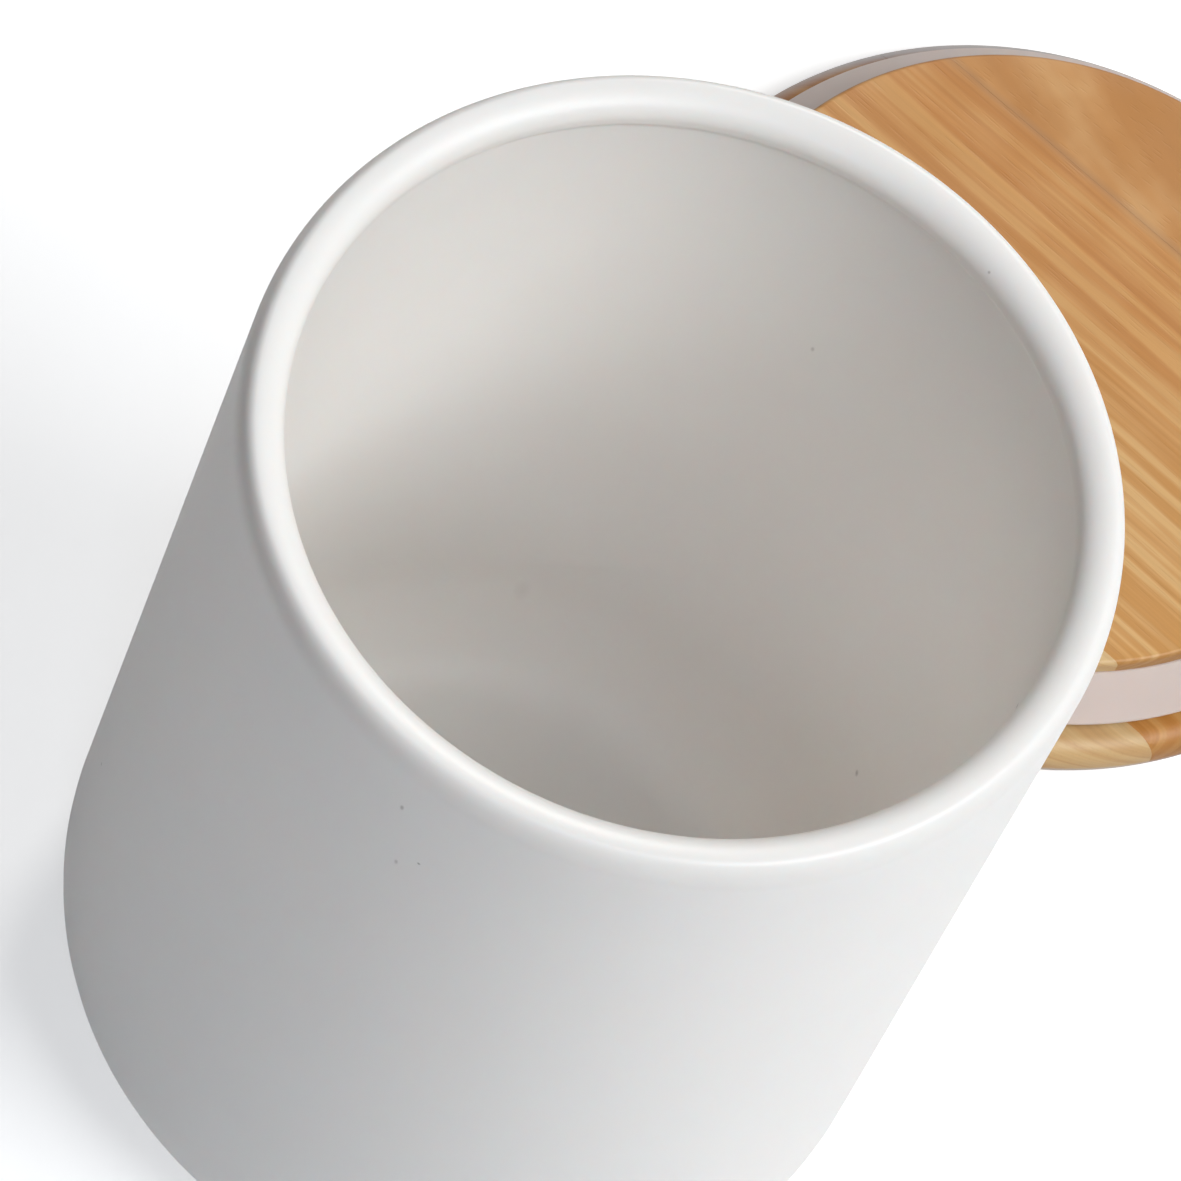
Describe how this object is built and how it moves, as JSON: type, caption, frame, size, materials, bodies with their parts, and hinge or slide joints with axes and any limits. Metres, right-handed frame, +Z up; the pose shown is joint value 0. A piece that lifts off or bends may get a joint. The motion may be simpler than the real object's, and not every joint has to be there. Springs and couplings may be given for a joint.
{
  "type": "ceramic canister",
  "caption": "Round glazed stoneware jar with a rolled rim, beside its turned wooden push-in lid, which lies upside down to show the lipped silicone seal.",
  "frame": {"origin": "on the jar's axis, in the plane that its foot ring stands on", "axes": "+Z up along the jar's axis and out of its mouth, +Y towards the lid beside the jar, +X along the lid's glue lines and grain"},
  "size_m": [0.101, 0.2115, 0.13],
  "materials": {
    "glaze": "satin",
    "wood_dark": "oiled",
    "wood_light": "oiled",
    "silicone": "satin"
  },
  "bodies": {
    "jar": {"jar": "glaze"},
    "lid": {"lid_stave_far": "wood_dark", "lid_stave_middle": "wood_light", "lid_stave_near": "wood_light", "seal_ring": "silicone"}
  },
  "joints": [
    {"name": "lid_lift", "type": "slide", "parent": "jar", "child": "lid", "axis": [0, 0, 1], "range_m": [0, 0.16]}
  ]
}
